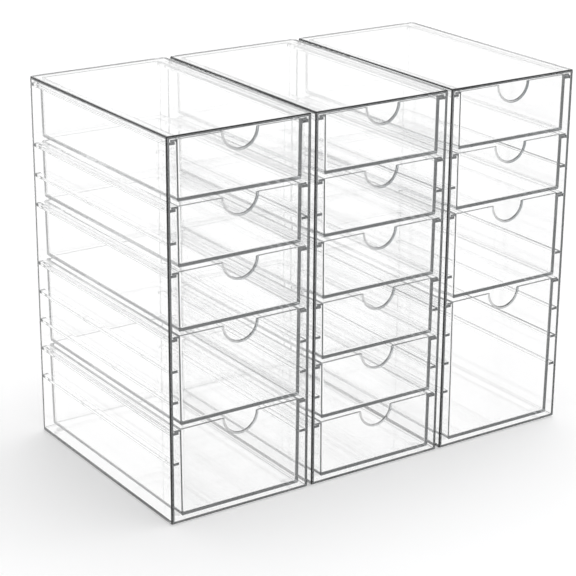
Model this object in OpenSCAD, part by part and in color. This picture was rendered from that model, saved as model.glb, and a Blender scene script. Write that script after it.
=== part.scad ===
// Set of three clear drawer towers that stand side by side. Each tower is a one-piece case, open at the
// front, and a stack of one-piece drawers whose side flanges hang on the case's ledge rails.
// Frame: millimetres, +Z up, +X along the row of towers, +Y towards their closed backs. The origin is
// under the middle of the set, at the height of the surface that its pads stand on.

/* [Case] */
// Outside width of one case
case_w = 140; // [100:1:220]
// Outside depth of one case
case_d = 240; // [160:1:340]
// Thickness of the case's side and back walls
wall_t = 3; // [2:0.1:5]
// Thickness of the case's top panel
top_t = 2.5; // [2:0.1:5]
// Thickness of the case's floor panel
floor_t = 2.5; // [2:0.1:5]
// Radius of the case's upright back corners, outside
back_corner_r = 4; // [1:0.5:12]
// Radius of the case's upright back corners, inside
back_fillet_r = 1.5; // [0.5:0.5:6]

/* [Grid] */
// Height of one drawer unit, of which a case holds twelve
unit_h = 28; // [20:0.5:45]
// Space between the top drawer's rim and the case's top panel
top_room = 1; // [0.5:0.1:4]
// Space between a drawer's underside and the rim or floor below it
stack_gap = 3.4; // [1:0.1:8]

/* [Rails] */
// How far a rail stands out from the case's side wall
rail_w = 5.6; // [4:0.1:9]
// Thickness of a rail
rail_t = 2.4; // [1.5:0.1:4]
// How far the rails' front ends stay behind the case's front
rail_setback = 0.8; // [0:0.1:10]
// Running gap between a drawer's flange and the rail under it
rail_play = 0.25; // [0.1:0.05:1]
// Running gap between a rail's edge and the drawer's side
rail_side_gap = 0.7; // [0.3:0.1:3]

/* [Drawers] */
// Thickness of a drawer's walls
drawer_wall_t = 2.3; // [1.5:0.1:4]
// Thickness of a drawer's floor
drawer_floor_t = 2.6; // [1.5:0.1:4]
// Thickness of a drawer's side flanges
flange_t = 1.8; // [1:0.1:3]
// Running gap between a flange's edge and the case's side wall
flange_side_gap = 1.2; // [0.4:0.1:2.5]
// Space between a drawer's back and the case's back wall
drawer_back_gap = 2; // [1:0.5:30]
// Mould taper of a drawer's sides and back, in degrees
draft = 0.5; // [0.1:0.1:1.5]
// Radius of a drawer's lower edges along its sides and back, outside
heel_r = 2; // [0.5:0.5:6]
// Radius of a drawer's lower front edge, outside
toe_r = 1; // [0.5:0.1:3]
// Radius where a drawer's floor meets its walls, inside
floor_fillet_r = 1.5; // [0.5:0.5:8]
// Radius of a drawer's upright front corners, inside
front_fillet_r = 1; // [0.5:0.5:8]
// Radius of a drawer's upright back corners, inside
back_corner_fillet_r = 5; // [1:0.5:12]
// Radius of a drawer's upright back corners, outside
drawer_corner_r = 3; // [0.5:0.5:6]
// Radius of the half-round finger notch in a drawer's front panel
notch_r = 18; // [10:0.5:24]

/* [Pads] */
// Diameter of a non-slip pad under the case
pad_d = 10; // [6:0.5:16]
// Thickness of a pad
pad_t = 1.2; // [0.8:0.1:4]
// Distance from the case's sides, front and back to a pad's centre
pad_inset = 14; // [10:0.5:30]

/* [Set] */
// Space between two neighbouring cases
case_gap = 4; // [0.5:0.5:60]

/* [Hidden] */
// Grid units in one case
units = 12;
// The towers, left to right
TOWERS = ["left", "middle", "right"];
// Heights of each tower's drawers in grid units, top drawer first
STACKS = [[2, 2, 2, 3, 3], [2, 2, 2, 2, 2, 2], [2, 2, 3, 5]];
// One more stack that the same case is moulded to take
SPARE_STACK = [3, 3, 3, 3];
LAYOUTS = concat(STACKS, [SPARE_STACK]);

CLEAR = [0.93, 0.95, 0.96, 0.35];
CLEAR_SOFT = [0.88, 0.90, 0.91, 0.5];
// Straight pieces in each rounded corner of an outline
arc_steps = 6;
// Overshoot of a cut past the face that it goes through
over = 1;
$fn = 64;

pitch = case_w + case_gap;
inner_w = case_w - 2 * wall_t;
inner_d = case_d - wall_t;
front_y = -case_d / 2;
case_z = pad_t;
floor_z = case_z + floor_t;
rim_z = floor_z + units * unit_h;
case_h = floor_t + units * unit_h + top_room + top_t;
rail_len = inner_d - rail_setback;
drawer_w = inner_w - 2 * (rail_w + rail_side_gap);
drawer_d = inner_d - drawer_back_gap;
flange_w = rail_w + rail_side_gap - flange_side_gap;
rail_drop = flange_t + rail_play;

function drawer_name(t, k) = str(TOWERS[t], "_drawer_", k + 1);

// Middle of tower t, along the row
function tower_x(t) = (t - (len(TOWERS) - 1) / 2) * pitch;

// Grid units above drawer k of a stack
function units_above(stack, k) = k == 0 ? 0 : stack[k - 1] + units_above(stack, k - 1);

// Whether any of the layouts has a drawer whose rim is u units down
function has_rim(u) =
    max([for (s = LAYOUTS) for (k = [0 : len(s) - 1]) units_above(s, k) == u ? 1 : 0]) == 1;

function unit_vector(v) = v / norm(v);

// Points of one rounded corner at b, between its neighbours a and c, each [x, y, radius]
function corner(a, b, c) =
    let (
        p = [b[0], b[1]],
        u = unit_vector([a[0], a[1]] - p),
        v = unit_vector([c[0], c[1]] - p),
        half = acos(u * v) / 2,
        centre = p + unit_vector(u + v) * b[2] / sin(half),
        start = p + u * b[2] / tan(half) - centre,
        sweep = 180 - 2 * half)
    b[2] == 0 ? [p] : [for (i = [0 : arc_steps])
        let (turn = sweep * i / arc_steps)
        centre + [start[0] * cos(turn) - start[1] * sin(turn), start[0] * sin(turn) + start[1] * cos(turn)]];

// Outline through corners [x, y, radius] given anticlockwise, each rounded to its radius
function rounded(corners) =
    let (n = len(corners))
    [for (i = [0 : n - 1]) each corner(corners[(i + n - 1) % n], corners[i], corners[(i + 1) % n])];

// Solid of a tapered tub of top width w, depth d and height h, standing on z = 0 with its front at y = 0.
// Inset moves its front and back in from there, and top is how far it runs on above h.
module tub_solid(w, d, h, inset, side_r, front_r, front_upright_r, back_upright_r, top) {
    taper = h * tan(draft);
    rise = top * tan(draft);
    half = w / 2;
    front = inset;
    back = d - inset;
    high = h + top;
    intersection() {
        translate([0, d + over, 0])
            rotate([90, 0, 0])
                linear_extrude(d + 2 * over)
                    polygon(rounded([
                        [taper - half, 0, side_r], [half - taper, 0, side_r],
                        [half + rise, high, 0], [-half - rise, high, 0]]));
        rotate([90, 0, 90])
            translate([0, 0, -w / 2 - over])
                linear_extrude(w + 2 * over)
                    polygon(rounded([
                        [front, 0, front_r], [back - taper, 0, side_r],
                        [back + rise, high, 0], [front, high, 0]]));
        linear_extrude(high)
            polygon(rounded([
                [-half, front, front_upright_r], [half, front, front_upright_r],
                [half, back, back_upright_r], [-half, back, back_upright_r]]));
    }
}

// Drawer k of tower t, one moulding: tub, side flanges and finger notch
module drawer(t, k) {
    stack = STACKS[t];
    top_z = rim_z - units_above(stack, k) * unit_h;
    h = stack[k] * unit_h - stack_gap;
    cavity_h = h - drawer_floor_t;
    color(CLEAR)
        translate([tower_x(t), front_y, top_z - h])
            difference() {
                union() {
                    tub_solid(drawer_w, drawer_d, h, 0, heel_r, toe_r, 0, drawer_corner_r, 0);
                    for (side = [-1, 1])
                        drawer_flange(side, h);
                }
                translate([0, 0, drawer_floor_t])
                    tub_solid(drawer_w - 2 * drawer_wall_t, drawer_d, cavity_h, drawer_wall_t,
                        floor_fillet_r, floor_fillet_r, front_fillet_r, back_corner_fillet_r, over);
                translate([0, drawer_wall_t + over, h])
                    rotate([90, 0, 0])
                        cylinder(r = notch_r, h = drawer_wall_t + 2 * over);
            }
}

// Flange along one side of a drawer of height h; it reaches into the tub's wall
module drawer_flange(side, h) {
    root = drawer_wall_t / 2;
    x = side > 0 ? drawer_w / 2 - root : -drawer_w / 2 - flange_w;
    translate([x, 0, h - flange_t])
        cube([flange_w + root, drawer_d - drawer_corner_r, flange_t]);
}

// Case of tower t: a box open at the front, with a rail on each side wall wherever a drawer can hang
module tower_case(t) {
    color(CLEAR)
        translate([tower_x(t), front_y, case_z]) {
            difference() {
                linear_extrude(case_h)
                    polygon(rounded([
                        [-case_w / 2, 0, 0], [case_w / 2, 0, 0],
                        [case_w / 2, case_d, back_corner_r], [-case_w / 2, case_d, back_corner_r]]));
                translate([0, 0, floor_t])
                    linear_extrude(case_h - floor_t - top_t)
                        polygon(rounded([
                            [-inner_w / 2, -over, 0], [inner_w / 2, -over, 0],
                            [inner_w / 2, inner_d, back_fillet_r], [-inner_w / 2, inner_d, back_fillet_r]]));
            }
            for (u = [0 : units - 1])
                if (has_rim(u))
                    rail_pair(rim_z - case_z - u * unit_h - rail_drop - rail_t);
        }
}

// One rail on each side wall, with its underside at height z in the case; it reaches into both walls
module rail_pair(z) {
    root = wall_t / 2;
    for (side = [-1, 1])
        translate([side > 0 ? inner_w / 2 - rail_w : -inner_w / 2 - root, rail_setback, z])
            cube([rail_w + root, rail_len + root, rail_t]);
}

// The four pads under tower t's case
module tower_pads(t) {
    color(CLEAR_SOFT)
        for (x = [-1, 1], y = [-1, 1])
            translate([tower_x(t) + x * (case_w / 2 - pad_inset), y * (case_d / 2 - pad_inset), 0])
                cylinder(d = pad_d, h = pad_t);
}

for (t = [0 : len(TOWERS) - 1]) {
    tower_case(t);
    tower_pads(t);
    for (k = [0 : len(STACKS[t]) - 1])
        drawer(t, k);
}
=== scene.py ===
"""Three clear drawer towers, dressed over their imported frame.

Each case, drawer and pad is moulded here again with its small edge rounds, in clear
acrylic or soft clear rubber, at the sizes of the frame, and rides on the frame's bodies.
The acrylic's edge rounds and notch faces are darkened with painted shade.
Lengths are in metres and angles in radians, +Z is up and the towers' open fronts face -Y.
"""

import math

import bmesh
import bpy
from bpy.props import FloatProperty, FloatVectorProperty, IntProperty, PointerProperty
from bpy.types import Operator, Panel, PropertyGroup
from mathutils import Matrix, Vector


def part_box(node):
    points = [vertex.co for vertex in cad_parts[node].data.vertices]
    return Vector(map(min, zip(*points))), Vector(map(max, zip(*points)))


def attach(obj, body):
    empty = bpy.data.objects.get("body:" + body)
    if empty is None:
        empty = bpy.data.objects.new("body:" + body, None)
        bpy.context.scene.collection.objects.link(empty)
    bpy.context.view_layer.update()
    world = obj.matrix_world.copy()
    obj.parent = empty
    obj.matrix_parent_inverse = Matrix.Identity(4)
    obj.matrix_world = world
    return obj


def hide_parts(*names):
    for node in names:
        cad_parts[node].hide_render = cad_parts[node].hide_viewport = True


bl_info = {
    "name": "Clear Drawer Towers",
    "version": (1, 0, 0),
    "blender": (4, 5, 0),
    "location": "3D View > Sidebar > Drawer Towers",
    "description": "Clear acrylic drawer towers with sliding drawers, on a white studio stage",
    "category": "Add Mesh",
}

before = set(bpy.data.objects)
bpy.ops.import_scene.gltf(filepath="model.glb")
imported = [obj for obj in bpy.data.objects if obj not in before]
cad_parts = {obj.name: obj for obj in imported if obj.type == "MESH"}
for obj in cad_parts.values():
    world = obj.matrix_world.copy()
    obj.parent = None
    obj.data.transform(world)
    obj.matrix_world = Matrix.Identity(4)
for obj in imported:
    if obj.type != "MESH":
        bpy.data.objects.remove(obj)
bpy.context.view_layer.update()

MM = 0.001
TOWERS = ("left", "middle", "right")
CASES_BODY = "cases"
# Places of a piece's materials: flat faces, rounds of outer and inner edges, a notch's cut face;
# the last three are darkened with painted shade
FLAT, OUTER, INNER, CUT = range(4)
# Decimals of a metre to which two heights have to agree to be the same
HEIGHT_DECIMALS = 5
# Grid units in each of the middle tower's drawers
MIDDLE_DRAWER_UNITS = 2
# Grid units from the top rim down to the second rim of four equal drawers
SPARE_RIM_UNITS = 3
# Turn between two faces from which their edge is rounded
SHARP_TURN = math.radians(50)
# Flat strips across the round of an edge
ROUND_STRIPS = 3
# How far a piece's big faces rule the normals of its small ones, of 1 to 100
FLAT_FACE_WEIGHT = 100
# Tone of a flat face, which lets all the light in and has no painted shade
FULL_TONE = 1.0
# Straight pieces in a notch, a pad and the studio floor, for each arc step
CIRCLE_PIECES = 8
FLOOR_PIECES = 16
# Octaves of noise above the first, for slow, patchy and grainy changes
SLOW, PATCHY, GRAINY = range(3)
# Parts of the noise's range that haze, scuffs and the rubber's changes spread over
WHOLE_RANGE = (0.0, 1.0)
HAZE_RANGE = (0.6, 0.8)
SCUFF_RANGE = (0.68, 0.8)
RUBBER_RANGE = (0.3, 0.7)
# Grains across one cloudy patch of rubber, its share of the clear colour, and the grain's height
CLOUD_GRAINS = 8
CLOUD_SHADE = 0.9
GRAIN_HEIGHT = 0.05 * MM
# Roughness of the rubber at its smoothest and at its roughest
RUBBER_ROUGHNESS = (0.25, 0.4)
# Share of the soft box's half angle within which it has its full brightness
SOFT_BOX_CORE = 0.5
# Bounces of light to follow, enough for light that the acrylic guides far
LIGHT_BOUNCES = 256
# Parts a count of nought from a count of one or more
HALF = 0.5


def drawer_nodes(tower):
    """Names of a tower's drawers, top drawer first."""
    return sorted(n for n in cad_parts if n.startswith(f"{tower}_drawer_"))


ALL_DRAWERS = [node for tower in TOWERS for node in drawer_nodes(tower)]


# ---------------------------------------------------------------- sizes and finishes


class CaseSizes(PropertyGroup):
    """Sizes of a case that the frame's boxes don't give."""

    wall: FloatProperty(
        name="Wall",
        description="Thickness of the side and back walls",
        default=3 * MM,
        unit="LENGTH",
    )
    lid: FloatProperty(
        name="Top panel",
        description="Thickness of the top panel",
        default=2.5 * MM,
        unit="LENGTH",
    )
    floor: FloatProperty(
        name="Floor panel",
        description="Thickness of the floor panel",
        default=2.5 * MM,
        unit="LENGTH",
    )
    back_corner: FloatProperty(
        name="Back corner",
        description="Outside radius of the upright back corners",
        default=4 * MM,
        unit="LENGTH",
    )
    back_fillet: FloatProperty(
        name="Back fillet",
        description="Inside radius of the upright back corners",
        default=1.5 * MM,
        unit="LENGTH",
    )
    rail_reach: FloatProperty(
        name="Rail reach",
        description="How far a ledge rail stands out from the side wall",
        default=5.6 * MM,
        unit="LENGTH",
    )
    rail_height: FloatProperty(
        name="Rail height",
        description="Thickness of a ledge rail",
        default=2.4 * MM,
        unit="LENGTH",
    )
    rail_drop: FloatProperty(
        name="Rail drop",
        description="From a drawer's rim down to the top of the rail that carries it",
        default=2.05 * MM,
        unit="LENGTH",
    )
    rail_setback: FloatProperty(
        name="Rail setback",
        description="How far the rails start behind the open front",
        default=0.8 * MM,
        unit="LENGTH",
    )
    outer_edge: FloatProperty(
        name="Outer edge round",
        description="Width of the round on a case's outer edges",
        default=1.0 * MM,
        unit="LENGTH",
    )
    edge: FloatProperty(
        name="Inner edge round",
        description="Width of the small round on a case's inner edges and rails",
        default=0.3 * MM,
        unit="LENGTH",
    )


class DrawerSizes(PropertyGroup):
    """Sizes of a drawer that the frame's boxes don't give."""

    wall: FloatProperty(
        name="Wall",
        description="Thickness of a drawer's walls",
        default=2.3 * MM,
        unit="LENGTH",
    )
    floor: FloatProperty(
        name="Floor",
        description="Thickness of a drawer's floor",
        default=2.6 * MM,
        unit="LENGTH",
    )
    flange_reach: FloatProperty(
        name="Flange reach",
        description="How far a side flange stands out from the drawer's rim",
        default=5.1 * MM,
        unit="LENGTH",
    )
    flange_height: FloatProperty(
        name="Flange height",
        description="Thickness of a side flange",
        default=1.8 * MM,
        unit="LENGTH",
    )
    draft: FloatProperty(
        name="Draft",
        description="Taper of the sides and back towards the floor",
        default=math.radians(0.5),
        unit="ROTATION",
    )
    heel: FloatProperty(
        name="Heel",
        description="Outside radius of the lower edges along the sides and back",
        default=2 * MM,
        unit="LENGTH",
    )
    toe: FloatProperty(
        name="Toe",
        description="Outside radius of the lower front edge",
        default=1 * MM,
        unit="LENGTH",
    )
    floor_fillet: FloatProperty(
        name="Floor fillet",
        description="Inside radius where the floor meets the walls",
        default=1.5 * MM,
        unit="LENGTH",
    )
    front_fillet: FloatProperty(
        name="Front fillet",
        description="Inside radius of the upright front corners",
        default=1 * MM,
        unit="LENGTH",
    )
    back_fillet: FloatProperty(
        name="Back fillet",
        description="Inside radius of the upright back corners",
        default=5 * MM,
        unit="LENGTH",
    )
    back_corner: FloatProperty(
        name="Back corner",
        description="Outside radius of the upright back corners",
        default=3 * MM,
        unit="LENGTH",
    )
    notch: FloatProperty(
        name="Finger notch",
        description="Radius of the half-round notch in the front panel",
        default=18 * MM,
        unit="LENGTH",
    )
    notch_lip: FloatProperty(
        name="Notch lip",
        description="How far the notch's edge slopes in from each face of the panel to its middle",
        default=2.4 * MM,
        unit="LENGTH",
    )
    outer_edge: FloatProperty(
        name="Outer edge round",
        description="Width of the round on a drawer's lower and upright edges",
        default=0.3 * MM,
        unit="LENGTH",
    )
    edge: FloatProperty(
        name="Inner edge round",
        description="Width of the small round on a drawer's rim, flanges and inside edges",
        default=0.25 * MM,
        unit="LENGTH",
    )


class PadSizes(PropertyGroup):
    """Sizes of the non-slip pads that the frame's boxes don't give."""

    edge: FloatProperty(
        name="Edge round",
        description="Radius of a pad's upper and lower edge",
        default=0.4 * MM,
        unit="LENGTH",
    )
    diameter: FloatProperty(
        name="Diameter",
        description="Diameter of a pad",
        default=10 * MM,
        unit="LENGTH",
    )


class Finishes(PropertyGroup):
    """Look of the clear acrylic and of the pads' rubber, with the painted shade on the acrylic's
    edge rounds.
    """

    ior: FloatProperty(
        name="Index",
        description="Refractive index of the acrylic",
        default=1.49,
        min=1.0,
        max=2.0,
    )
    tint: FloatVectorProperty(
        name="Acrylic tint",
        description="Colour that deep acrylic keeps",
        subtype="COLOR",
        size=3,
        default=(0.78, 0.80, 0.81),
    )
    depth_loss: FloatProperty(
        name="Depth loss",
        description="How strongly acrylic takes off light, per metre that it travels inside",
        default=5.0,
        min=0.0,
    )
    haze: FloatProperty(
        name="Haze",
        description="Roughness of the haziest patches on the acrylic's faces",
        default=0.015,
        min=0.0,
        max=1.0,
    )
    haze_scale: FloatProperty(
        name="Haze scale",
        description="Patches of haze to a metre",
        default=25.0,
        min=0.0,
    )
    scuff: FloatProperty(
        name="Scuff",
        description="Roughness of the hairline scuffs that sliding leaves",
        default=0.05,
        min=0.0,
        max=1.0,
    )
    scuff_scale: FloatProperty(
        name="Scuff scale",
        description="Scuffs to a metre, across the way that the drawers slide",
        default=600.0,
        min=0.0,
    )
    scuff_stretch: FloatProperty(
        name="Scuff stretch",
        description="Width of a scuff as a share of its length",
        default=0.03,
        min=0.0,
    )
    # Painted shade: tones below one darken the colour of the edge rounds and of the notch's cut
    # face, standing in for the dark lines that light bent and guided in the acrylic leaves along
    # its edges
    case_outer_edge_shade: FloatProperty(
        name="Case outer edge tone",
        description="Light that the rounds of a case's outer edges let in",
        default=0.0,
        min=0.0,
        max=1.0,
        subtype="FACTOR",
    )
    case_inner_edge_shade: FloatProperty(
        name="Case inner edge tone",
        description="Light that the rounds of a case's inner edges and rails let in",
        default=0.45,
        min=0.0,
        max=1.0,
        subtype="FACTOR",
    )
    drawer_outer_edge_shade: FloatProperty(
        name="Drawer outer edge tone",
        description="Light that the rounds of a drawer's lower and upright edges let in",
        default=0.1,
        min=0.0,
        max=1.0,
        subtype="FACTOR",
    )
    drawer_inner_edge_shade: FloatProperty(
        name="Drawer inner edge tone",
        description="Light that the rounds of a drawer's rim, flanges and inside let in",
        default=0.65,
        min=0.0,
        max=1.0,
        subtype="FACTOR",
    )
    notch_shade: FloatProperty(
        name="Notch tone",
        description="Light that the cut face of a finger notch lets in",
        default=0.6,
        min=0.0,
        max=1.0,
        subtype="FACTOR",
    )
    ripple: FloatProperty(
        name="Ripple",
        description="Height of the flow ripple that moulding leaves on a face",
        default=0.01 * MM,
        unit="LENGTH",
    )
    ripple_scale: FloatProperty(
        name="Ripple scale",
        description="Waves of the flow ripple to a metre",
        default=30.0,
        min=0.0,
    )
    rubber: FloatVectorProperty(
        name="Pad rubber",
        description="Colour of the pads' clear rubber",
        subtype="COLOR",
        size=3,
        default=(0.95, 0.95, 0.95),
    )
    rubber_ior: FloatProperty(
        name="Rubber index",
        description="Refractive index of the pads' rubber",
        default=1.41,
        min=1.0,
        max=2.0,
    )
    rubber_grain: FloatProperty(
        name="Rubber grain",
        description="Grains of the pads' matt surface to a metre",
        default=2500.0,
        min=0.0,
    )


class StageSizes(PropertyGroup):
    """Floor, studio light and camera."""

    floor_radius: FloatProperty(
        name="Floor radius",
        description="Radius of the round white floor",
        default=8.0,
        unit="LENGTH",
    )
    floor_colour: FloatVectorProperty(
        name="Floor colour",
        description="Colour of the studio floor",
        subtype="COLOR",
        size=3,
        default=(0.95, 0.95, 0.955),
    )
    ambient_level: FloatProperty(
        name="Ambient level",
        description="Brightness of the studio all round, as the floor is lit by it",
        default=0.15,
        min=0.0,
    )
    soft_box_azimuth: FloatProperty(
        name="Soft box azimuth",
        description="Direction of the soft box over the floor, from +Y towards +X",
        default=math.radians(75),
        unit="ROTATION",
    )
    soft_box_elevation: FloatProperty(
        name="Soft box elevation",
        description="Elevation of the soft box",
        default=math.radians(78),
        unit="ROTATION",
    )
    soft_box_spread: FloatProperty(
        name="Soft box spread",
        description="Half angle that the soft box covers, with its soft rim",
        default=math.radians(40),
        unit="ROTATION",
    )
    soft_box_level: FloatProperty(
        name="Soft box level",
        description="Brightness of the soft box",
        default=3.52,
        min=0.0,
    )
    mirrored_level: FloatProperty(
        name="Mirrored level",
        description=(
            "Brightness of the studio's walls and floor as the acrylic's faces mirror them"
        ),
        default=1.12,
        min=0.0,
    )
    mirrorings: FloatProperty(
        name="Free mirrorings",
        description="Mirrorings in the acrylic up to which the studio is seen at full white",
        default=8.0,
        min=0.0,
    )
    mirrorings_dark: FloatProperty(
        name="Last mirrorings",
        description="Mirrorings in the acrylic from which the studio is seen at its guided level",
        default=15.0,
        min=0.0,
    )
    guided_level: FloatProperty(
        name="Guided level",
        description="Brightness of the studio at the end of light that the acrylic has guided far",
        default=0.2,
        min=0.0,
    )
    floor_glow: FloatProperty(
        name="Floor glow",
        description=(
            "Share of plain white in the floor as the camera sees it, the rest being lit floor"
        ),
        default=0.47,
        min=0.0,
        max=1.0,
        subtype="FACTOR",
    )
    floor_glow_through: FloatProperty(
        name="Floor glow through acrylic",
        description="Share of plain white in the floor as seen through or mirrored in the acrylic",
        default=0.9,
        min=0.0,
        max=1.0,
        subtype="FACTOR",
    )
    camera_place: FloatVectorProperty(
        name="Camera place",
        description="Where the camera stands",
        subtype="XYZ",
        size=3,
        unit="LENGTH",
        default=(-0.96091, -1.39996, 0.75316),
    )
    camera_turn: FloatProperty(
        name="Camera turn",
        description="How far the camera turns from +Y towards +X",
        default=0.59398,
        unit="ROTATION",
    )
    camera_dip: FloatProperty(
        name="Camera dip",
        description="How far the camera looks down",
        default=0.34790,
        unit="ROTATION",
    )
    camera_roll: FloatProperty(
        name="Camera roll",
        description="Roll of the camera about its line of sight",
        default=0.00761,
        unit="ROTATION",
    )
    lens: FloatProperty(
        name="Lens",
        description="Focal length on a 36 mm sensor, in millimetres",
        default=120.95,
        min=1.0,
    )


class TowerSettings(PropertyGroup):
    """All the settings of the set."""

    case: PointerProperty(type=CaseSizes)
    drawer: PointerProperty(type=DrawerSizes)
    pad: PointerProperty(type=PadSizes)
    finish: PointerProperty(type=Finishes)
    stage: PointerProperty(type=StageSizes)
    arc_steps: IntProperty(
        name="Arc steps",
        description="Straight pieces in a quarter of a round",
        default=8,
        min=2,
        max=32,
    )


# ---------------------------------------------------------------- outlines and solids


def corner_points(before, corner, after, radius, steps):
    """One corner of an outline, rounded to a radius."""
    p = Vector(corner)
    if radius <= 0:
        return [p]
    u = (Vector(before) - p).normalized()
    v = (Vector(after) - p).normalized()
    half = u.angle(v) / 2
    centre = p + (u + v).normalized() * radius / math.sin(half)
    start = p + u * radius / math.tan(half) - centre
    sweep = math.pi - 2 * half
    return [
        centre + Matrix.Rotation(sweep * i / steps, 2) @ start for i in range(steps + 1)
    ]


def rounded_outline(corners, steps):
    """Anticlockwise outline through corners (x, y, radius)."""
    n = len(corners)
    points = []
    for i, (x, y, radius) in enumerate(corners):
        before, after = corners[i - 1][:2], corners[(i + 1) % n][:2]
        points += corner_points(before, (x, y), after, radius, steps)
    return points


def circle(radius, steps):
    """Points (x, y) of a circle around the origin."""
    pieces = CIRCLE_PIECES * steps
    turns = (2 * math.pi * i / pieces for i in range(pieces))
    return [(radius * math.cos(turn), radius * math.sin(turn)) for turn in turns]


def stack_rings(rings, bm=None):
    """Closed solid through rings of equally many points, from the lowest ring to the highest.

    It is added to a mesh if one is given.
    """
    if bm is None:
        bm = bmesh.new()
    loops = [[bm.verts.new(point) for point in ring] for ring in rings]
    for low, high in zip(loops, loops[1:]):
        for i in range(len(low)):
            j = (i + 1) % len(low)
            bm.faces.new((low[i], low[j], high[j], high[i]))
    bm.faces.new(reversed(loops[0]))
    bm.faces.new(loops[-1])
    return bm


def prism(outline, low, high):
    """Upright prism over an outline."""
    return stack_rings([[(p.x, p.y, z) for p in outline] for z in (low, high)])


def add_block(bm, low, high):
    """Adds a block between two corners to a mesh."""
    size = [b - a for a, b in zip(low, high)]
    middle = [(a + b) / 2 for a, b in zip(low, high)]
    place = Matrix.Translation(middle) @ Matrix.Diagonal((*size, 1))
    bmesh.ops.create_cube(bm, size=1, matrix=place)


def tool_object(bm, name):
    """Object made from a mesh, which the mesh is freed into."""
    mesh = bpy.data.meshes.new(name)
    bm.to_mesh(mesh)
    bm.free()
    made = bpy.data.objects.new(name, mesh)
    bpy.context.scene.collection.objects.link(made)
    return made


def round_edges(body, width, place):
    """Rounds a body's sharp edges; the rounds wear the material at a place."""
    rounding = body.modifiers.new("Edge round", "BEVEL")
    rounding.width = width
    rounding.segments = ROUND_STRIPS
    rounding.limit_method = "ANGLE"
    rounding.angle_limit = SHARP_TURN
    rounding.use_clamp_overlap = False
    rounding.material = place


def moulded(name, solid, outer_edge, steps, edge, materials):
    """Mesh of a solid with its outer edges rounded, then cut and joined by boolean steps
    (operation, mesh, place of the material), with the edges that those leave rounded too.
    """
    body = tool_object(solid, name)
    for material in materials:
        body.data.materials.append(material)
    round_edges(body, outer_edge, OUTER)
    tools = []
    for operation, bm, place in steps:
        for face in bm.faces:
            face.material_index = place
        tool = tool_object(bm, f"{name}_tool")
        tools.append(tool)
        cut = body.modifiers.new(operation.title(), "BOOLEAN")
        cut.operation = operation
        cut.solver = "EXACT"
        cut.object = tool
    round_edges(body, edge, INNER)
    flats = body.modifiers.new("Flat faces stay flat", "WEIGHTED_NORMAL")
    flats.weight = FLAT_FACE_WEIGHT
    for made in (body, *tools):
        for polygon in made.data.polygons:
            polygon.use_smooth = True
    bpy.context.view_layer.update()
    ready = body.evaluated_get(bpy.context.evaluated_depsgraph_get())
    mesh = bpy.data.meshes.new_from_object(ready)
    for made in (body, *tools):
        bpy.data.meshes.remove(made.data)
    mesh.name = name
    return mesh


def place_piece(name, mesh, at, node, body):
    """Links a piece that stands for a frame node and rides on its body."""
    piece = bpy.data.objects.new(name, mesh)
    piece.location = at
    bpy.context.scene.collection.objects.link(piece)
    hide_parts(node)
    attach(piece, body)


# ---------------------------------------------------------------- cases


def rim_heights():
    """Heights at which a case can hang a drawer's rim: those of all the drawers, and the one that
    a stack of four equal drawers would need besides.
    """
    rims = {round(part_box(node)[1].z, HEIGHT_DECIMALS) for node in ALL_DRAWERS}
    first, second = (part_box(node)[1].z for node in drawer_nodes("middle")[:2])
    unit = (first - second) / MIDDLE_DRAWER_UNITS
    rims.add(round(max(rims) - SPARE_RIM_UNITS * unit, HEIGHT_DECIMALS))
    return sorted(rims)


def case_mesh(settings, low, high, materials):
    """One case around the origin of its own box's bottom centre."""
    size = settings.case
    width, depth, height = high - low
    half, back = width / 2, depth / 2
    inner_half, inner_back = half - size.wall, back - size.wall
    steps = settings.arc_steps
    over = size.wall
    outside = rounded_outline(
        [
            (-half, -back, 0),
            (half, -back, 0),
            (half, back, size.back_corner),
            (-half, back, size.back_corner),
        ],
        steps,
    )
    inside = rounded_outline(
        [
            (-inner_half, -back - over, 0),
            (inner_half, -back - over, 0),
            (inner_half, inner_back, size.back_fillet),
            (-inner_half, inner_back, size.back_fillet),
        ],
        steps,
    )
    rails = bmesh.new()
    for rim in rim_heights():
        rail_top = rim - size.rail_drop - low.z
        for side in (-1, 1):
            inner_x = side * (inner_half - size.rail_reach)
            outer_x = side * (inner_half + size.wall / 2)
            add_block(
                rails,
                (min(inner_x, outer_x), -back + size.rail_setback, rail_top - size.rail_height),
                (max(inner_x, outer_x), inner_back + size.wall / 2, rail_top),
            )
    hollow = prism(inside, size.floor, height - size.lid)
    return moulded(
        "case",
        prism(outside, 0, height),
        size.outer_edge,
        [("DIFFERENCE", hollow, FLAT), ("UNION", rails, FLAT)],
        size.edge,
        materials,
    )


class TOWERS_OT_cases(Operator):
    """Mould the three cases over the frame's case nodes."""

    bl_idname = "towers.cases"
    bl_label = "Cases"

    def execute(self, context):
        settings = context.scene.towers
        finish = settings.finish
        # The rounds of the outer and inner edges wear acrylic darkened by painted shade
        materials = (
            clear_acrylic("case_faces", finish, FULL_TONE),
            clear_acrylic("case_outer_edges_painted_shade", finish, finish.case_outer_edge_shade),
            clear_acrylic("case_inner_edges_painted_shade", finish, finish.case_inner_edge_shade),
        )
        mesh = None
        for tower in TOWERS:
            node = f"{tower}_case"
            low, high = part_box(node)
            if mesh is None:
                mesh = case_mesh(settings, low, high, materials)
            at = ((low.x + high.x) / 2, (low.y + high.y) / 2, low.z)
            place_piece(f"{tower}_case_shell", mesh, at, node, CASES_BODY)
        return {"FINISHED"}


# ---------------------------------------------------------------- drawers


def round_inset(height, radius):
    """How far a round lower edge has drawn in at a height above the underside."""
    if height >= radius:
        return 0.0
    return radius - math.sqrt(radius**2 - (radius - height) ** 2)


def round_levels(radii, top, steps):
    """Heights of the rings through lower edges of these radii, and the top."""
    levels = {0.0, top}
    for radius in radii:
        for i in range(1, steps + 1):
            levels.add(radius * (1 - math.cos(math.pi / 2 * i / steps)))
    return sorted(levels)


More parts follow.
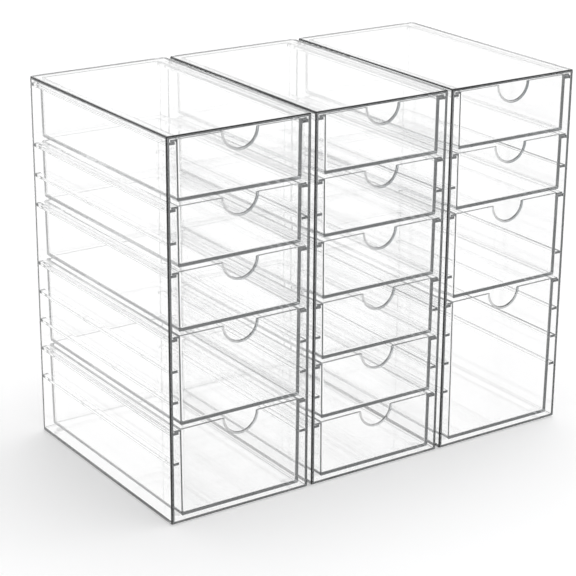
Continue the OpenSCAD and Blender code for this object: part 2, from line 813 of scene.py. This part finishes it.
def tub(size, width, depth, height, inset, radii, uprights, top, steps):
    """Tapered tub with its front at y = 0 and its underside at z = 0.

    Inset moves the front and back in, radii are those of the side and front lower edges, uprights
    those of the front and back corners, and top is how far the tub runs on above its height.
    """
    side_r, front_r = radii
    front_corner, back_corner = uprights
    rings = []
    for z in round_levels(set(radii), height + top, steps):
        taper = (height - z) * math.tan(size.draft)
        half = width / 2 - taper - round_inset(z, side_r)
        front = inset + round_inset(z, front_r)
        back = depth - inset - taper - round_inset(z, side_r)
        outline = rounded_outline(
            [
                (-half, front, front_corner),
                (half, front, front_corner),
                (half, back, back_corner),
                (-half, back, back_corner),
            ],
            steps,
        )
        rings.append([(p.x, p.y, z) for p in outline])
    return stack_rings(rings)


def notch_tool(size, height, over, steps):
    """Cutter of the half-round finger notch, narrowest in the middle of the front panel."""
    middle = size.wall / 2
    narrow = size.notch - size.notch_lip
    wide = narrow + size.notch_lip * (middle + over) / middle
    rings = []
    for y, radius in ((-over, wide), (middle, narrow), (size.wall + over, wide)):
        rings.append([(x, y, height - down) for x, down in circle(radius, steps)])
    return stack_rings(rings)


def drawer_mesh(settings, width, depth, height, materials):
    """One drawer with its flanges and finger notch, its front at y = 0 and its underside at z = 0.

    The flanges start a little behind the front, clear of the round on its upright edges.
    """
    size = settings.drawer
    steps = settings.arc_steps
    over = size.wall
    tub_width = width - 2 * size.flange_reach
    outside = tub(
        size,
        tub_width,
        depth,
        height,
        0,
        (size.heel, size.toe),
        (0, size.back_corner),
        over,
        steps,
    )
    hollow = tub(
        size,
        tub_width - 2 * size.wall,
        depth,
        height - size.floor,
        size.wall,
        (size.floor_fillet, size.floor_fillet),
        (size.front_fillet, size.back_fillet),
        over,
        steps,
    )
    bmesh.ops.translate(hollow, verts=hollow.verts, vec=(0, 0, size.floor))
    above = bmesh.new()
    add_block(above, (-width, -over, height), (width, depth + over, height + 2 * over))
    flanges = bmesh.new()
    for side in (-1, 1):
        inner_x = side * (tub_width / 2 - size.wall / 2)
        outer_x = side * width / 2
        add_block(
            flanges,
            (min(inner_x, outer_x), 2 * size.outer_edge, height - size.flange_height),
            (max(inner_x, outer_x), depth - size.back_corner, height),
        )
    notch = notch_tool(size, height, over, steps)
    return moulded(
        f"drawer_{height / MM:.0f}",
        outside,
        size.outer_edge,
        [
            ("DIFFERENCE", above, FLAT),
            ("UNION", flanges, FLAT),
            ("DIFFERENCE", hollow, FLAT),
            ("DIFFERENCE", notch, CUT),
        ],
        size.edge,
        materials,
    )


class TOWERS_OT_drawers(Operator):
    """Mould every drawer over its frame node, one mesh for each height."""

    bl_idname = "towers.drawers"
    bl_label = "Drawers"

    def execute(self, context):
        settings = context.scene.towers
        finish = settings.finish
        # The rounds of the edges and the notch's cut face wear acrylic darkened by painted shade
        materials = (
            clear_acrylic("drawer_faces", finish, FULL_TONE),
            clear_acrylic("drawer_outer_edges_painted_shade", finish, finish.drawer_outer_edge_shade),
            clear_acrylic("drawer_inner_edges_painted_shade", finish, finish.drawer_inner_edge_shade),
            clear_acrylic("drawer_notch_painted_shade", finish, finish.notch_shade),
        )
        meshes = {}
        for node in ALL_DRAWERS:
            low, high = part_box(node)
            width, depth, height = high - low
            key = round(height / MM)
            if key not in meshes:
                meshes[key] = drawer_mesh(settings, width, depth, height, materials)
            at = ((low.x + high.x) / 2, low.y, low.z)
            place_piece(f"{node}_tub", meshes[key], at, node, node)
        return {"FINISHED"}


# ---------------------------------------------------------------- pads


def pad_set_mesh(settings, low, high):
    """The four pads under one case, around the middle of their box's underside."""
    size = settings.pad
    thick = high.z - low.z
    radius = size.diameter / 2
    reach_x = (high.x - low.x) / 2 - radius
    reach_y = (high.y - low.y) / 2 - radius
    steps = settings.arc_steps
    turns = [math.pi / 2 * i / steps for i in range(steps + 1)]
    profile = [
        (radius - size.edge + size.edge * math.sin(turn), size.edge * (1 - math.cos(turn)))
        for turn in turns
    ]
    profile += [(r, thick - z) for r, z in reversed(profile)]
    bm = bmesh.new()
    for x in (-reach_x, reach_x):
        for y in (-reach_y, reach_y):
            stack_rings([[(x + u, y + v, z) for u, v in circle(r, steps)] for r, z in profile], bm)
    mesh = bpy.data.meshes.new("pads")
    bm.to_mesh(mesh)
    bm.free()
    return mesh


class TOWERS_OT_pads(Operator):
    """Make the non-slip pads under each case."""

    bl_idname = "towers.pads"
    bl_label = "Pads"

    def execute(self, context):
        settings = context.scene.towers
        rubber = pad_rubber("clear_rubber", settings.finish)
        mesh = None
        for tower in TOWERS:
            node = f"{tower}_pads"
            low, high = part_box(node)
            if mesh is None:
                mesh = pad_set_mesh(settings, low, high)
                mesh.materials.append(rubber)
            at = ((low.x + high.x) / 2, (low.y + high.y) / 2, low.z)
            place_piece(f"{tower}_pad_set", mesh, at, node, CASES_BODY)
        return {"FINISHED"}


# ---------------------------------------------------------------- materials


def blank_material(name):
    """Material with an empty node tree, its output and a Principled shader."""
    material = bpy.data.materials.new(name)
    material.use_nodes = True
    nodes = material.node_tree.nodes
    nodes.clear()
    output = nodes.new("ShaderNodeOutputMaterial")
    shader = nodes.new("ShaderNodeBsdfPrincipled")
    material.node_tree.links.new(shader.outputs["BSDF"], output.inputs["Surface"])
    return material, nodes, material.node_tree.links, output, shader


def feed(links, value, socket):
    """Gives a socket a number, or links it to another node's output."""
    if isinstance(value, float):
        socket.default_value = value
    else:
        links.new(value, socket)


def maths(nodes, links, operation, *values):
    """Result of a Math node on numbers or other nodes' outputs."""
    node = nodes.new("ShaderNodeMath")
    node.operation = operation
    for socket, value in zip(node.inputs, values):
        feed(links, value, socket)
    return node.outputs["Value"]


def either(nodes, links, choice, first, second):
    """The first value where the choice is 0, and the second where it is 1."""
    node = nodes.new("ShaderNodeMix")
    node.data_type = "FLOAT"
    links.new(choice, node.inputs["Factor"])
    feed(links, first, node.inputs["A"])
    feed(links, second, node.inputs["B"])
    return node.outputs["Result"]


def remapped(nodes, links, value, old_range, new_range, interpolation="LINEAR"):
    """A value of an old range, moved to the same place in a new range."""
    node = nodes.new("ShaderNodeMapRange")
    node.interpolation_type = interpolation
    links.new(value, node.inputs["Value"])
    node.inputs["From Min"].default_value, node.inputs["From Max"].default_value = old_range
    node.inputs["To Min"].default_value, node.inputs["To Max"].default_value = new_range
    return node.outputs["Result"]


def patches(nodes, links, coordinates, per_metre, octaves, noise_range, new_range=WHOLE_RANGE):
    """Soft random patches, this many to a metre, over which the noise's range is spread."""
    noise = nodes.new("ShaderNodeTexNoise")
    noise.inputs["Scale"].default_value = per_metre
    noise.inputs["Detail"].default_value = octaves
    links.new(coordinates, noise.inputs["Vector"])
    return remapped(nodes, links, noise.outputs["Fac"], noise_range, new_range)


def relief(nodes, links, shader, height, depth):
    """Lets a height from 0 to 1, over this depth in metres, bend a shader's normal."""
    bump = nodes.new("ShaderNodeBump")
    bump.inputs["Distance"].default_value = depth
    links.new(height, bump.inputs["Height"])
    links.new(bump.outputs["Normal"], shader.inputs["Normal"])


def clear_acrylic(name, finish, tone):
    """Water-clear acrylic with a trace of grey in its depth.

    Its faces have the slow flow ripple that moulding leaves, patches of faint haze, and hairline
    scuffs along the way that the drawers slide. Tone darkens a face's colour as painted shade:
    none for a flat one, some for the round of an edge, for the dark lines along the edges.
    """
    material, nodes, links, output, shader = blank_material(name)
    # Painted shade: a tone below one darkens the colour of an edge's round or a notch's cut face
    shader.inputs["Base Color"].default_value = (tone, tone, tone, 1)
    shader.inputs["Transmission Weight"].default_value = 1
    shader.inputs["IOR"].default_value = finish.ior
    depth = nodes.new("ShaderNodeVolumeAbsorption")
    depth.inputs["Color"].default_value = (*finish.tint, 1)
    depth.inputs["Density"].default_value = finish.depth_loss
    links.new(depth.outputs["Volume"], output.inputs["Volume"])

    place = nodes.new("ShaderNodeTexCoord").outputs["Object"]
    along = nodes.new("ShaderNodeMapping")
    along.inputs["Scale"].default_value = (1.0, finish.scuff_stretch, 1.0)
    links.new(place, along.inputs["Vector"])
    haze = patches(
        nodes, links, place, finish.haze_scale, PATCHY, HAZE_RANGE, (0.0, finish.haze)
    )
    scuffs = patches(
        nodes,
        links,
        along.outputs["Vector"],
        finish.scuff_scale,
        SLOW,
        SCUFF_RANGE,
        (0.0, finish.scuff),
    )
    links.new(maths(nodes, links, "ADD", haze, scuffs), shader.inputs["Roughness"])
    flow = patches(nodes, links, place, finish.ripple_scale, SLOW, WHOLE_RANGE)
    relief(nodes, links, shader, flow, finish.ripple)
    return material


def pad_rubber(name, finish):
    """Clear silicone rubber, cloudy in patches, with a fine matt grain."""
    material, nodes, links, _, shader = blank_material(name)
    shader.inputs["Transmission Weight"].default_value = 1
    shader.inputs["IOR"].default_value = finish.rubber_ior
    place = nodes.new("ShaderNodeTexCoord").outputs["Object"]
    per_metre = finish.rubber_grain
    cloud = patches(nodes, links, place, per_metre / CLOUD_GRAINS, GRAINY, RUBBER_RANGE)
    colour = nodes.new("ShaderNodeMix")
    colour.data_type = "RGBA"
    colour.inputs["A"].default_value = (*finish.rubber, 1)
    colour.inputs["B"].default_value = (*(c * CLOUD_SHADE for c in finish.rubber), 1)
    links.new(cloud, colour.inputs["Factor"])
    links.new(colour.outputs["Result"], shader.inputs["Base Color"])
    rough = patches(nodes, links, place, per_metre, GRAINY, RUBBER_RANGE, RUBBER_ROUGHNESS)
    links.new(rough, shader.inputs["Roughness"])
    grain = patches(nodes, links, place, per_metre, GRAINY, WHOLE_RANGE)
    relief(nodes, links, shader, grain, GRAIN_HEIGHT)
    return material


# ---------------------------------------------------------------- stage


def studio_white(nodes, links, ray, stage):
    """White where the studio is seen directly or through faces, brighter where a face mirrors it,
    and dim at the end of light that the acrylic has guided far.
    """
    mirrorings = ray.outputs["Glossy Depth"]
    guided = remapped(
        nodes,
        links,
        mirrorings,
        (stage.mirrorings, stage.mirrorings_dark),
        (stage.mirrored_level, stage.guided_level),
    )
    mirrored = maths(nodes, links, "GREATER_THAN", mirrorings, HALF)
    return either(nodes, links, mirrored, 1.0, guided)


def studio_world(stage):
    """White studio as it is seen, which lights the floor by one soft box and a dim surround."""
    world = bpy.data.worlds.new("studio")
    bpy.context.scene.world = world
    world.use_nodes = True
    nodes, links = world.node_tree.nodes, world.node_tree.links
    nodes.clear()
    output = nodes.new("ShaderNodeOutputWorld")
    sky = nodes.new("ShaderNodeBackground")
    sky.inputs["Color"].default_value = (1, 1, 1, 1)
    links.new(sky.outputs["Background"], output.inputs["Surface"])
    direction = nodes.new("ShaderNodeTexCoord")
    level = math.cos(stage.soft_box_elevation)
    towards = nodes.new("ShaderNodeVectorMath")
    towards.operation = "DOT_PRODUCT"
    towards.inputs[1].default_value = (
        level * math.sin(stage.soft_box_azimuth),
        level * math.cos(stage.soft_box_azimuth),
        math.sin(stage.soft_box_elevation),
    )
    links.new(direction.outputs["Generated"], towards.inputs[0])
    box = remapped(
        nodes,
        links,
        towards.outputs["Value"],
        (math.cos(stage.soft_box_spread), math.cos(stage.soft_box_spread * SOFT_BOX_CORE)),
        (stage.ambient_level, stage.ambient_level + stage.soft_box_level),
        "SMOOTHSTEP",
    )
    ray = nodes.new("ShaderNodeLightPath")
    lit = maths(nodes, links, "GREATER_THAN", ray.outputs["Diffuse Depth"], HALF)
    seen = either(nodes, links, lit, studio_white(nodes, links, ray, stage), box)
    links.new(seen, sky.inputs["Strength"])


def studio_floor(stage, steps):
    """Round matt white floor, partly plain white where it is seen, so that it meets the studio."""
    bm = bmesh.new()
    bmesh.ops.create_circle(
        bm, cap_ends=True, segments=FLOOR_PIECES * steps, radius=stage.floor_radius
    )
    floor = tool_object(bm, "studio_floor")
    material, nodes, links, output, shader = blank_material("studio_floor")
    shader.inputs["Base Color"].default_value = (*stage.floor_colour, 1)
    shader.inputs["Roughness"].default_value = 1
    shader.inputs["Specular IOR Level"].default_value = 0
    glow = nodes.new("ShaderNodeEmission")
    ray = nodes.new("ShaderNodeLightPath")
    links.new(studio_white(nodes, links, ray, stage), glow.inputs["Strength"])
    seen = maths(nodes, links, "MULTIPLY", ray.outputs["Is Camera Ray"], stage.floor_glow)
    through, glossy = ray.outputs["Is Transmission Ray"], ray.outputs["Is Glossy Ray"]
    bent = maths(nodes, links, "MAXIMUM", through, glossy)
    share = maths(nodes, links, "MULTIPLY_ADD", bent, stage.floor_glow_through, seen)
    mix = nodes.new("ShaderNodeMixShader")
    links.new(share, mix.inputs["Fac"])
    links.new(shader.outputs["BSDF"], mix.inputs[1])
    links.new(glow.outputs["Emission"], mix.inputs[2])
    links.new(mix.outputs["Shader"], output.inputs["Surface"])
    floor.data.materials.append(material)


def studio_camera(stage):
    """Camera at the photograph's viewing angle."""
    data = bpy.data.cameras.new("camera")
    data.lens = stage.lens
    camera = bpy.data.objects.new("camera", data)
    bpy.context.scene.collection.objects.link(camera)
    camera.matrix_world = (
        Matrix.Translation(stage.camera_place)
        @ Matrix.Rotation(-stage.camera_turn, 4, "Z")
        @ Matrix.Rotation(math.pi / 2 - stage.camera_dip, 4, "X")
        @ Matrix.Rotation(stage.camera_roll, 4, "Z")
    )
    bpy.context.scene.camera = camera


class TOWERS_OT_stage(Operator):
    """Set the floor, the studio light and the camera."""

    bl_idname = "towers.stage"
    bl_label = "Stage"

    def execute(self, context):
        settings = context.scene.towers
        context.scene.view_settings.view_transform = "Standard"
        cycles = context.scene.cycles
        cycles.max_bounces = LIGHT_BOUNCES
        cycles.transmission_bounces = LIGHT_BOUNCES
        cycles.glossy_bounces = LIGHT_BOUNCES
        studio_world(settings.stage)
        studio_floor(settings.stage, settings.arc_steps)
        studio_camera(settings.stage)
        return {"FINISHED"}


# ---------------------------------------------------------------- panel and registration


class TOWERS_PT_build(Panel):
    """Panel in the 3D view's sidebar with every step and setting of the set."""

    bl_label = "Drawer Towers"
    bl_idname = "TOWERS_PT_build"
    bl_space_type = "VIEW_3D"
    bl_region_type = "UI"
    bl_category = "Drawer Towers"

    def draw(self, context):
        for step in BUILD_ORDER:
            self.layout.operator(step.bl_idname)
        towers = context.scene.towers
        self.layout.prop(towers, "arc_steps")
        for group in (towers.case, towers.drawer, towers.pad, towers.finish, towers.stage):
            box = self.layout.box()
            for name in group.__annotations__:
                box.prop(group, name)


BUILD_ORDER = (TOWERS_OT_stage, TOWERS_OT_cases, TOWERS_OT_drawers, TOWERS_OT_pads)
CLASSES = (
    CaseSizes,
    DrawerSizes,
    PadSizes,
    Finishes,
    StageSizes,
    TowerSettings,
    *BUILD_ORDER,
    TOWERS_PT_build,
)


def register():
    for cls in CLASSES:
        bpy.utils.register_class(cls)
    bpy.types.Scene.towers = PointerProperty(type=TowerSettings)


def unregister():
    del bpy.types.Scene.towers
    for cls in reversed(CLASSES):
        bpy.utils.unregister_class(cls)


def main():
    register()
    bpy.ops.towers.stage()
    bpy.ops.towers.cases()
    bpy.ops.towers.drawers()
    bpy.ops.towers.pads()


if __name__ == "__main__":
    main()
